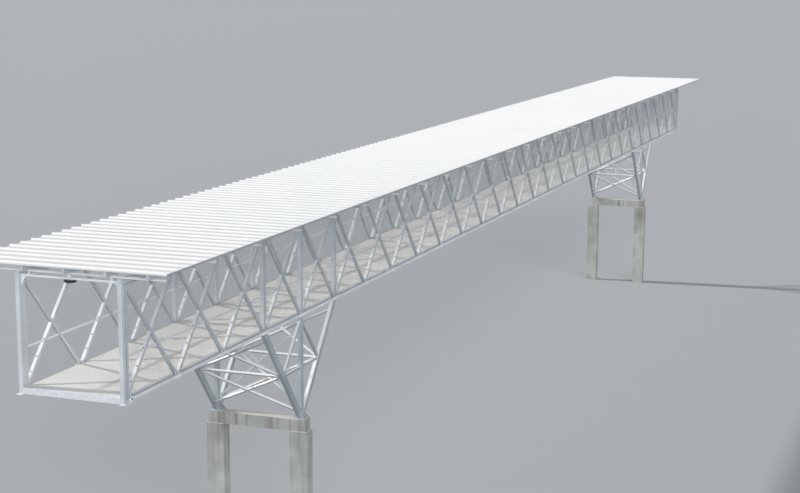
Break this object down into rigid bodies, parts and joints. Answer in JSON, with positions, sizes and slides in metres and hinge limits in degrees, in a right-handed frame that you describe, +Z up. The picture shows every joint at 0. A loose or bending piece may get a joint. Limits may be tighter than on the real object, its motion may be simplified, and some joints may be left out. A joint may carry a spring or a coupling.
{
  "type": "steel pedestrian bridge, 1:2 scale model",
  "caption": "Covered steel truss footbridge with crossed diagonals, ribbed roof, side rails and concrete deck, on braced steel fans and concrete portals.",
  "frame": {"origin": "on the ground, below the middle of the bridge", "axes": "+X along the bridge from its near end to its far end, +Y across it to the left, +Z up"},
  "size_m": [32.79, 2.56, 5.1265],
  "materials": {
    "galvanised_steel": "matt hot-dip galvanised, weathered",
    "painted_roof": "white stove-painted ribbed sheet",
    "deck_concrete": "pale broomed concrete",
    "pier_concrete": "board-marked concrete with run-off streaks",
    "lamp_housing": "dark satin",
    "bright_sill": "bright worn steel"
  },
  "bodies": {
    "root": {"bottom_chord_left": "galvanised_steel", "bottom_chord_right": "galvanised_steel", "concrete_pier_far": "pier_concrete", "concrete_pier_near": "pier_concrete", "deck_slab_1": "deck_concrete", "deck_slab_2": "deck_concrete", "deck_slab_3": "deck_concrete", "end_bearings": "galvanised_steel", "end_post_far_left": "galvanised_steel", "end_post_far_right": "galvanised_steel", "end_post_near_left": "galvanised_steel", "end_post_near_right": "galvanised_steel", "end_sills": "bright_sill", "entrance_lamps": "lamp_housing", "floor_beams": "galvanised_steel", "floor_bracing": "galvanised_steel", "portal_far": "galvanised_steel", "portal_near": "galvanised_steel", "raking_bracing_far": "galvanised_steel", "raking_bracing_near": "galvanised_steel", "roof_bracing": "galvanised_steel", "roof_outriggers": "galvanised_steel", "roof_purlins": "galvanised_steel", "roof_sheet_1": "painted_roof", "roof_sheet_2": "painted_roof", "roof_sheet_3": "painted_roof", "roof_sheet_4": "painted_roof", "roof_sheet_5": "painted_roof", "roof_sheet_6": "painted_roof", "roof_sheet_7": "painted_roof", "roof_sheet_8": "painted_roof", "roof_sheet_9": "painted_roof", "stringers": "galvanised_steel", "support_fan_far_left": "galvanised_steel", "support_fan_far_right": "galvanised_steel", "support_fan_near_left": "galvanised_steel", "support_fan_near_right": "galvanised_steel", "top_chord_left": "galvanised_steel", "top_chord_right": "galvanised_steel", "truss_rail_left": "galvanised_steel", "truss_rail_right": "galvanised_steel", "truss_web_left": "galvanised_steel", "truss_web_right": "galvanised_steel", "upright_bracing_far": "galvanised_steel", "upright_bracing_near": "galvanised_steel"}
  },
  "joints": []
}
